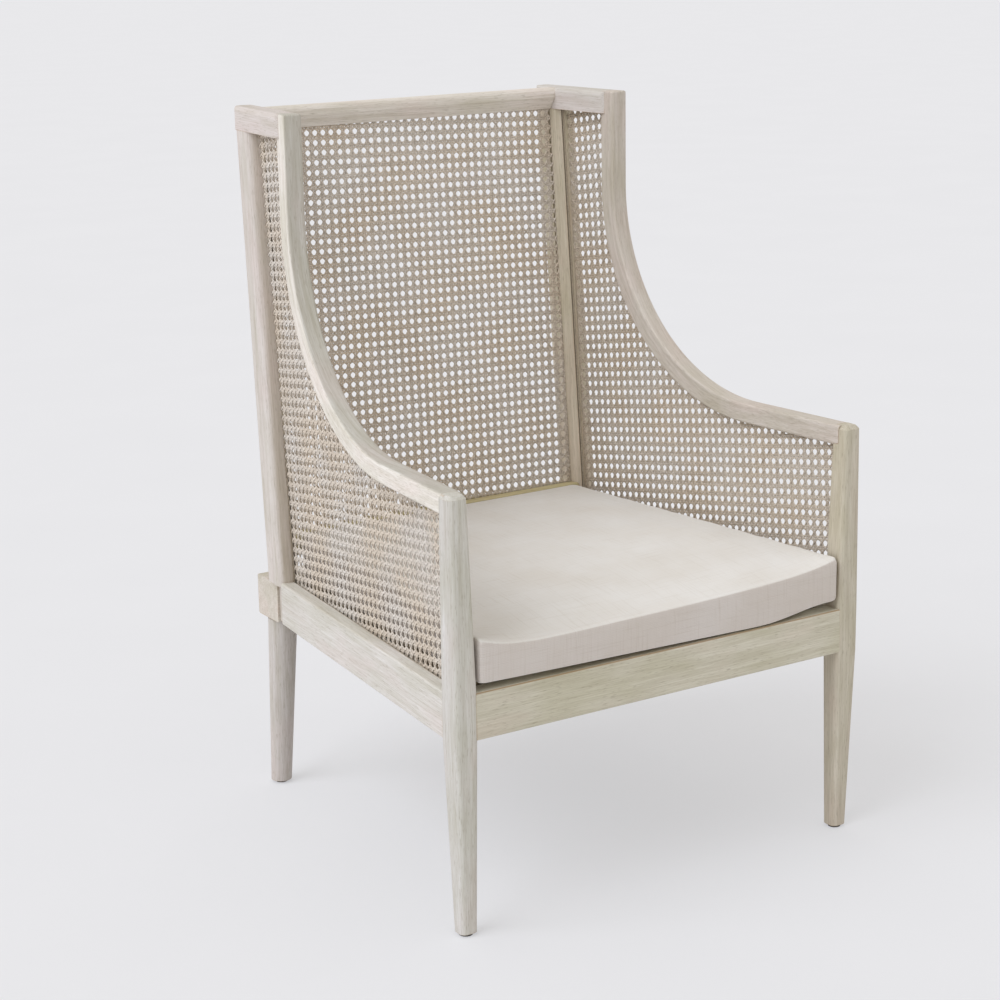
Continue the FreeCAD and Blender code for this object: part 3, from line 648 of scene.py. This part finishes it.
def laid_out(name, source, corners):
    """Enough copies of a strand's repeat to cover the corners, merged into one piece."""
    first, counts = [], []
    for axis, step in enumerate((repeat_x, repeat_y)):
        reach = [corner[axis] for corner in corners]
        first.append(math.floor(min(reach) / step) - 1)
        counts.append(math.ceil(max(reach) / step) - first[axis] + 2)
    piece = bpy.data.objects.new(name, source.data.copy())
    bpy.context.scene.collection.objects.link(piece)
    piece.data.transform(Matrix.Translation((first[0] * repeat_x, first[1] * repeat_y, 0.0)))
    only(piece)
    for count, step in ((counts[0], (repeat_x, 0.0, 0.0)), (counts[1], (0.0, repeat_y, 0.0))):
        rows = piece.modifiers.new("rows", "ARRAY")
        rows.count, rows.use_relative_offset, rows.use_constant_offset = count, False, True
        rows.constant_offset_displace = step
        bpy.ops.object.modifier_apply(modifier="rows")
    bpy.ops.object.mode_set(mode="EDIT")
    bpy.ops.mesh.select_all(action="SELECT")
    bpy.ops.mesh.remove_doubles(threshold=merge_within)
    bpy.ops.object.mode_set(mode="OBJECT")
    return piece


print("repeats merge within", merge_within * 1000, "mm")

# %% Mark the fibres and cut the edge
# The families lie this far apart in the noise. A diagonal's place is divided by about the root of two.
family_step = 0.7
diagonal_length = 1.4
sharp_angle = math.radians(62)


def fibres_of(flat, family):
    """The place across and along each point's strand, and its family's place in the noise."""
    x, y = flat[:, 0], flat[:, 1]
    rise = repeat_y / repeat_x
    across, along = {
        "uprights": (x, y), "levels": (y, x),
        "diagonal_one": ((y + rise * x) / diagonal_length, (x - y) / diagonal_length),
        "diagonal_two": ((y - rise * x) / diagonal_length, (x + y) / diagonal_length),
    }[family]
    return np.stack([across, along, np.full(len(x), family_step * list(families).index(family))], 1)


def trim(piece, beyond):
    """Deletes the points beyond the opening and its groove, and closes the strands' ends."""
    bpy.ops.object.mode_set(mode="EDIT")
    pick(piece, beyond)
    bpy.ops.mesh.delete(type="VERT")
    bpy.ops.mesh.select_all(action="SELECT")
    bpy.ops.mesh.delete_loose()
    bpy.ops.mesh.select_all(action="SELECT")
    bpy.ops.mesh.fill_holes(sides=4)
    bpy.ops.mesh.select_all(action="SELECT")
    bpy.ops.mesh.normals_make_consistent(inside=False)
    bpy.ops.object.mode_set(mode="OBJECT")
    bpy.ops.object.shade_smooth_by_angle(angle=sharp_angle)


print("families", ", ".join(families))

# %% Weave a panel
def weave(name, family, cane, origin, row, column, plane, corners, outside):
    """One family of strands over a panel. origin, row and column fit the holes; plane puts them in place."""
    carry = Matrix((
        (row[0] / repeat_x, column[0] / repeat_y, 0.0, origin[0] - (row[0] + column[0]) / 2),
        (row[1] / repeat_x, column[1] / repeat_y, 0.0, origin[1] - (row[1] + column[1]) / 2),
        (0.0, 0.0, 1.0, 0.0),
        (0.0, 0.0, 0.0, 1.0),
    ))
    piece = laid_out(name, families[family], [carry.inverted() @ Vector((u, v, 0.0)) for u, v in corners])
    fibre = fibres_of(points_of(piece), family)
    piece.data.transform(carry)
    sheet_places = points_of(piece)
    piece.data.transform(plane)
    attribute = piece.data.attributes.new("fibre", "FLOAT_VECTOR", "POINT")
    attribute.data.foreach_set("vector", fibre.astype(np.float32).ravel())
    trim(piece, outside(sheet_places[:, 0], sheet_places[:, 1]))
    piece.data.materials.clear()
    piece.data.materials.append(cane)
    return piece


def panel(name, node_name, *fit):
    """All four families of one panel, joined into the pairs and the diagonals."""
    straight = [weave(name + "_pairs", family, *fit) for family in ("uprights", "levels")]
    slanted = [weave(name + "_diagonals", family, *fit) for family in ("diagonal_one", "diagonal_two")]
    for pieces in (straight, slanted):
        only(*pieces)
        bpy.ops.object.join()
        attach(pieces[0], "frame")
        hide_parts(node_name)
        print(pieces[0].name, 2 * len(pieces[0].data.polygons), "triangles")


# %% [markdown]
# ## The back panel
# The back's cane lies in a plane that leans with the rear posts. Its opening is a little narrower at the top,
# because the rear posts stand in sides that draw together. Places in the panel are measured across from the
# middle and up the slope, from 330 mm above the floor.

# %% Cane of the back
# How deep the grooves hold the cane, and the back's sizes, from the CAD.
hold = 0.0070
measured_from, back_at_seat = 0.330, 0.24577
back_low, back_high = 0.403, 0.985
post_half, side_at_front = 0.018, 0.3165


def outside_back(u, v):
    """Whether places of the back's plane lie beyond its opening by more than the groove holds."""
    height = measured_from + v * math.cos(recline)
    depth = back_at_seat + v * math.sin(recline)
    half = side_at_front - (depth - front_line) * math.tan(taper) - post_half / math.cos(taper)
    return (abs(u) > half + hold) | (height < back_low - hold) | (height > back_high + hold)


back_plane = Matrix((
    (1.0, 0.0, 0.0, 0.0),
    (0.0, math.sin(recline), -math.cos(recline), back_at_seat),
    (0.0, math.cos(recline), math.sin(recline), measured_from),
    (0.0, 0.0, 0.0, 1.0),
))
back_corners = [(u, v) for u in (-0.256, 0.256) for v in (0.064, 0.668)]
# One hole's middle, and the steps to the next hole of its row and of its column, as fitted.
back_fit = (0.04208, 0.3993), (0.01316, -0.00036), (0.00019, 0.01424)
panel("back_weave", "back_cane", canes["back"], *back_fit, back_plane, back_corners, outside_back)

# %% [markdown]
# ## The side panels
# Each side's cane stands in the wing a few millimetres inside the middle of the rail, so that a ledge shows
# outside it, and leans out a little on its way up, as the photograph shows at the rear posts. Its opening
# runs from the front post to the rear post, and the arm's curve cuts its upper front. Places are measured
# back along the side and up from the floor. The two sides are fitted apart, because their rows don't lie
# alike in the photograph.

# %% The opening of a side
side_rail_top, chair_height = 0.332, 1.018
panel_height = 0.653
# The front post narrows, and the rear post leans, by these lengths a metre.
front_post_draw, rear_post_lean = 0.015, 0.0752
rear_post_at_top = 0.2805
arm_half = 0.014


def outside_wing(u, v):
    """Whether places of a side's plane lie beyond its opening by more than the groove holds."""
    front = post_half - front_post_draw * (v - side_rail_top)
    rear = (rear_post_at_top - rear_post_lean * (chair_height - v) - front_line) / math.cos(taper)
    from_curve = np.hypot(np.maximum(u - curve_along, 0), np.minimum(v - curve_height, 0))
    level_part = (u < front - hold) | (v < side_rail_top - hold) | (v > back_high + hold)
    return level_part | (u > rear + hold) | (from_curve < curve_radius + arm_half - hold)


wing_corners = [(u, v) for u in (0.0, 0.61) for v in (0.32, 0.995)]
print("side panels", panel_height, "m high")

# %% Cane of the two sides
sine, cosine = math.sin(taper), math.cos(taper)
# For each side: how far inside the rail's middle its cane stands at the seat and at the top, and its holes.
for hand, side, low_inset, high_inset, wing_fit in (
    ("right", 1, 0.003, -0.002, ((0.4020, 0.5140), (0.01372, -0.00229), (0.00122, 0.01445))),
    ("left", -1, 0.008, -0.001, ((0.3276, 0.4760), (0.01424, -0.00203), (0.00106, 0.0139))),
):
    lean_out = (low_inset - high_inset) / panel_height
    floor_inset = low_inset + lean_out * side_rail_top
    start = (side * (side_at_front - floor_inset * cosine), front_line - floor_inset * sine)
    wing_plane = Matrix((
        (-side * sine, side * lean_out * cosine, -side * cosine, start[0]),
        (cosine, lean_out * sine, -sine, start[1]),
        (0.0, 1.0, 0.0, 0.0),
        (0.0, 0.0, 0.0, 1.0),
    ))
    panel(f"wing_weave_{hand}", f"wing_cane_{hand}", canes[hand], *wing_fit,
          wing_plane, wing_corners, outside_wing)
for strand in families.values():
    bpy.data.objects.remove(strand)

# %% [markdown]
# ## Linen
# The cushion's cover is plain woven linen, washed and matt. Linen yarn is uneven, so thick slubs run along
# some threads in both directions, and the cloth has broad, faint changes of tone. Real threads lie about 0.7
# mm apart and would vanish in the picture, so they are drawn 2.2 mm apart. The weave follows the object's
# three axes, and the surface's own direction says which two of them lie in the cloth.

# %% The threads and slubs
thread_pitch = 0.0022
slub_width, slub_length = 0.0016, 0.06


def yarns(tree, place, facing):
    """Two sums over the three axes: the waves of the threads, and the thick slubs."""
    spread = add(tree, "SeparateXYZ", {0: place}).outputs
    threads, slubs = [], []
    for axis in "XYZ":
        in_cloth = maths(tree, "SUBTRACT", 1.0, maths(tree, "ABSOLUTE", facing[axis]))
        phase = maths(tree, "MULTIPLY", spread[axis], 2 * math.pi / thread_pitch)
        threads.append(maths(tree, "MULTIPLY", maths(tree, "SINE", phase), in_cloth))
        cell = [slub_width if other == axis else slub_length for other in "XYZ"]
        thick = ranged(tree, noise(tree, place, cell, 2.0), (0.56, 0.78), (0.0, 1.0))
        slubs.append(maths(tree, "MULTIPLY", thick, in_cloth))
    return [maths(tree, "ADD", maths(tree, "ADD", x, y), z) for x, y, z in (threads, slubs)]


print("threads drawn", thread_pitch * 1000, "mm apart")

# %% The linen
def linen(name):
    """Plain linen whose threads follow the object's axes."""
    material, tree, shader, place = new_material(name)
    facing = add(tree, "SeparateXYZ", {0: add(tree, "NewGeometry").outputs["Normal"]}).outputs
    threads, slubs = yarns(tree, place, facing)
    cloud = add(tree, "TexNoise", {"Vector": place, "Scale": 9.0, "Detail": 4.0}).outputs[0]
    base = ramp(tree, cloud, (0.35, "EAE7E2"), (0.65, "F1F0EE"))
    woven = mix(tree, ranged(tree, threads, (-2.0, 2.0), (0.18, 0.0)), base, colour("C1BAAE"))
    slubbed = mix(tree, maths(tree, "MULTIPLY", slubs, 0.26), woven, colour("C3BAAB"))
    # The band round the sides is tinted a little darker than the top: painted shade.
    side_shade = ranged(tree, maths(tree, "ABSOLUTE", facing["Z"]), (0.75, 0.35), (0.0, 1.0))
    tree.links.new(mix(tree, side_shade, slubbed, colour("EBE6E4"), "MULTIPLY"), shader.inputs["Base Color"])
    raise_bumps(tree, shader, maths(tree, "ADD", threads, slubs), 0.35, 0.0003)
    shader.inputs["Roughness"].default_value = 0.92
    shader.inputs["Sheen Weight"].default_value = 0.15
    shader.inputs["Sheen Roughness"].default_value = 0.5
    return material


cover_cloth = linen("washed_linen")
print("linen ready")

# %% [markdown]
# ## The seat cushion
# The cushion is a boxed foam pad in a linen cover, loose on the seat: a top, a bottom and a band round the
# sides, sewn together along two crisp seams. It could be a rounded box, but cloth under pressure gives the
# true swell. The start is a tapered block of the CAD cushion's size, remeshed evenly. Its seams are pinned, a
# little pressure inflates the panels between them for twenty frames, and how far a point may move is capped.

# %% The cushion's block
seam_height = 0.404
arris_width, voxel_size = 0.005, 0.0055
low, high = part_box("seat_cushion_cover")
rear_half = high.x - math.tan(taper) * (high.y - low.y)
bpy.ops.object.select_all(action="DESELECT")
middle = (0.0, (low.y + high.y) / 2, (low.z + seam_height) / 2)
bpy.ops.mesh.primitive_cube_add(size=1.0, location=middle)
cushion = bpy.context.object
cushion.name = "seat_cushion"
cushion.scale = (2 * high.x, high.y - low.y, seam_height - low.z)
bpy.ops.object.transform_apply(location=True, rotation=True, scale=True)
bpy.ops.object.mode_set(mode="EDIT")
pick(cushion, points_of(cushion)[:, 1] > 0)
bpy.ops.transform.resize(value=(rear_half / high.x, 1.0, 1.0), center_override=(0.0, 0.0, 0.0))
bpy.ops.mesh.select_all(action="SELECT")
bpy.ops.mesh.bevel(offset=arris_width, segments=2, affect="EDGES")
bpy.ops.object.mode_set(mode="OBJECT")
remesh = cushion.modifiers.new("even", "REMESH")
remesh.mode, remesh.voxel_size = "VOXEL", voxel_size
bpy.ops.object.modifier_apply(modifier="even")
print("cushion block", len(cushion.data.vertices), "points")

# %% Swell the cushion
seam_band = 0.007
pressure, last_frame = 4.0, 20
swell_cap, side_cap = 0.0050, 0.0020

before = points_of(cushion)
half_width = high.x - math.tan(taper) * (before[:, 1] - low.y)
from_ends = np.minimum(before[:, 1] - low.y, high.y - before[:, 1])
inside = np.minimum(half_width - abs(before[:, 0]), from_ends)
by_seam = (inside < seam_band) & (np.minimum(before[:, 2] - low.z, seam_height - before[:, 2]) < seam_band)
seams = cushion.vertex_groups.new(name="seams")
seams.add([int(i) for i in np.flatnonzero(by_seam)], 1.0, "REPLACE")
cloth = cushion.modifiers.new("cloth", "CLOTH")
cloth.settings.use_pressure = True
cloth.settings.uniform_pressure_force = pressure
cloth.settings.effector_weights.gravity = 0.0
cloth.settings.vertex_group_mass = "seams"
cloth.point_cache.frame_start, cloth.point_cache.frame_end = 1, last_frame
for number in range(1, last_frame + 1):
    bpy.context.scene.frame_set(number)
bpy.ops.object.modifier_apply(modifier="cloth")
bpy.context.scene.frame_set(1)
moved = points_of(cushion) - before
length = np.linalg.norm(moved, axis=1)
moved *= np.minimum(1.0, swell_cap / np.maximum(length, 1e-9))[:, None]
moved[:, 0] = np.clip(moved[:, 0], -side_cap, side_cap)
after = before + moved
print("cushion swelled by up to", round(float(length.max()) * 1000, 1), "mm, capped at", swell_cap * 1000)

# %% [markdown]
# ## How the cushion lies
# Use has given the cushion its shape. The front seam sags between the corners, more so on the left, and the
# right side stands a little higher. The bottom seam rides up, a little on the left and much more at the right
# corner, where a dark wedge shows under it. The sides are drawn in between the corners. Smooth functions of
# the place across and back do all of this.

# %% Settle the cushion
# Lengths in metres: the front seam's sag at the middle and its change to either side, the right side's lift,
# how far the bottom seam rides up on the left and at the right corner, and how far the sides draw in.
front_sag, sag_change, right_lift = 0.0145, 0.0045, 0.0065
left_ride, corner_ride, draw_in = 0.006, 0.012, 0.004
# Shares of the depth that sag and ride reach back, and of the half width where the corner's ride starts and
# how far on it is full. The ride on the left ends halfway to the right.
sag_share, ride_share = 0.22, 0.08
corner_start_share, corner_width_share, left_end_share = 0.55, 0.4, 0.5

across = np.clip(after[:, 0] / half_width, -1.0, 1.0)
back_share = (after[:, 1] - low.y) / (high.y - low.y)
up_share = np.clip((after[:, 2] - low.z) / (seam_height - low.z), 0.0, 1.0)
# The sag is even between the corners and ends steeply at them, hence the seventh power.
sag = (front_sag - sag_change * across) * (1 - abs(across) ** 7) * np.exp(-(back_share / sag_share) ** 2)
sag -= right_lift * np.clip(across, 0.0, 1.0) ** 2 * (1 - back_share ** 2)
corner_share = np.clip((across - corner_start_share) / corner_width_share, 0.0, 1.0)
ride = left_ride * np.clip(left_end_share - across, 0.0, None)
ride += corner_ride * corner_share ** 2 * (3 - 2 * corner_share)
ride *= np.exp(-(back_share / ride_share) ** 2)
after[:, 2] += ride * (1 - up_share) - sag * up_share
after[:, 0] -= draw_in * (1 - (2 * back_share - 1) ** 2) * across ** 5
after[:, 2] = np.maximum(after[:, 2], low.z)
cushion.data.vertices.foreach_set("co", after.ravel())
cushion.data.update()
print("cushion sags by up to", round(float(sag.max()) * 1000, 1), "mm")

# %% [markdown]
# ## Finish the cushion
# One subdivision rounds what the voxels left, and the linen goes on. The pad rides on the loose cushion's own
# body, and stands for the CAD's cover and foam.

# %% Smooth and dress the cushion
only(cushion)
bpy.ops.object.shade_smooth()
finer = cushion.modifiers.new("finer", "SUBSURF")
finer.levels = finer.render_levels = 1
bpy.ops.object.modifier_apply(modifier="finer")
cushion.data.materials.append(cover_cloth)
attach(cushion, "seat_cushion")
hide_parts("seat_cushion_cover", "seat_cushion_foam")
places = points_of(cushion)
print("cushion box", places.min(0).round(4), places.max(0).round(4), len(cushion.data.polygons), "faces")

# %% [markdown]
# Both boxes, of the CAD model and of the dressed chair, are printed.

# %% Print both boxes
sizes = {"cad": cad_box, "visual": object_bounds()}
sizes = {name: [[round(float(value), 5) for value in corner] for corner in box] for name, box in sizes.items()}
print(sizes)
